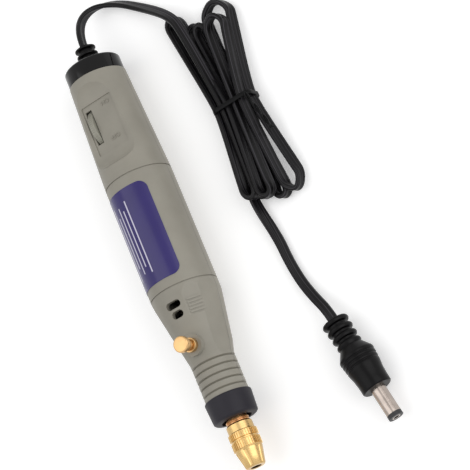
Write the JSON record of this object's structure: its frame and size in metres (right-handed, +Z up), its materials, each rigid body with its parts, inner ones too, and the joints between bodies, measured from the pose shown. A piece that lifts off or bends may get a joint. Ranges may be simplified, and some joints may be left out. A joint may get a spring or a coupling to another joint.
{
  "type": "rotary tool",
  "caption": "Slim low-voltage rotary tool with a brass collet chuck, spindle lock button, speed wheel and a tied flat lead with a barrel plug.",
  "frame": {"origin": "bottom centre of the tool without its lead, on the surface that it lies on", "axes": "-Y towards the chuck along the spindle, +Z up through the lock button"},
  "size_m": [0.0702, 0.1932, 0.0311],
  "materials": {
    "casing": "satin moulded plastic, warm grey",
    "screw": "blackened steel",
    "cap": "gloss black plastic",
    "ring": "matt dark blue-grey plastic",
    "label": "glossy deep violet-blue film",
    "boot": "matt black rubber",
    "brass": "turned brass",
    "steel": "turned steel",
    "bearing": "ground bearing steel",
    "coupling": "natural nylon",
    "motor_can": "zinc plated steel",
    "black_plastic": "black plastic",
    "magnet": "ferrite and carbon",
    "copper": "enamelled copper",
    "spring": "spring wire",
    "wheel": "moulded plastic, warm grey",
    "board": "glass-fibre board",
    "cord": "soft black vinyl",
    "tie": "black paper tie",
    "plug": "matt black moulded vinyl",
    "nickel": "nickel plate"
  },
  "bodies": {
    "housing": {"upper_shell": "casing", "lower_shell": "casing", "case_screws": "screw", "rear_cap": "cap", "nose_ring": "ring", "label": "label", "cable_boot": "boot", "front_bearing_outer": "bearing", "rear_bearing_outer": "bearing", "motor_can": "motor_can", "motor_end_cap": "black_plastic", "magnets": "magnet", "brushes": "magnet", "terminals": "brass", "lock_bush": "brass", "lock_spring": "spring", "speed_control": "black_plastic", "circuit_board": "board", "motor_leads": "cord", "lead_tail": "cord", "lead_to_bundle": "cord", "cord_bundle": "cord", "bundle_tie": "tie", "lead_to_plug": "cord", "plug_body": "plug", "plug_sleeve": "nickel", "plug_insulator": "black_plastic", "plug_contact": "nickel"},
    "spindle_train": {"spindle": "steel", "lock_collar": "steel", "front_bearing_inner": "bearing", "rear_bearing_inner": "bearing", "front_bearing_balls": "bearing", "rear_bearing_balls": "bearing", "coupling": "coupling", "motor_shaft": "steel", "armature_core": "steel", "windings": "copper", "commutator": "copper"},
    "collet": {"collet": "steel"},
    "chuck_nut": {"chuck_nut": "brass"},
    "lock_button": {"lock_button": "brass", "lock_clip": "steel"},
    "speed_wheel": {"speed_wheel": "wheel"}
  },
  "joints": [
    {"name": "spindle_spin", "type": "hinge", "parent": "housing", "child": "spindle_train", "pos_m": [0, 0, 0.0127], "axis": [0, 1, 0], "continuous": true},
    {"name": "collet_slide", "type": "slide", "parent": "spindle_train", "child": "collet", "axis": [0, -1, 0], "range_m": [0, 0.0015]},
    {"name": "nut_turn", "type": "hinge", "parent": "collet", "child": "chuck_nut", "pos_m": [0, 0, 0.0127], "axis": [0, -1, 0], "range_deg": [0, 720]},
    {"name": "button_press", "type": "slide", "parent": "housing", "child": "lock_button", "axis": [0, 0, -1], "range_m": [0, 0.0028], "stiffness_N_per_m": 400, "springref_m": -0.001, "deforming": ["lock_spring"]},
    {"name": "speed_wheel_turn", "type": "hinge", "parent": "housing", "child": "speed_wheel", "pos_m": [-0.0043, 0.05575, 0.0151], "axis": [1, 0, 0], "range_deg": [0, 280]}
  ],
  "couplings": [
    {"joint": "nut_turn", "follows": "collet_slide", "rad_per_m": 8377.5}
  ]
}
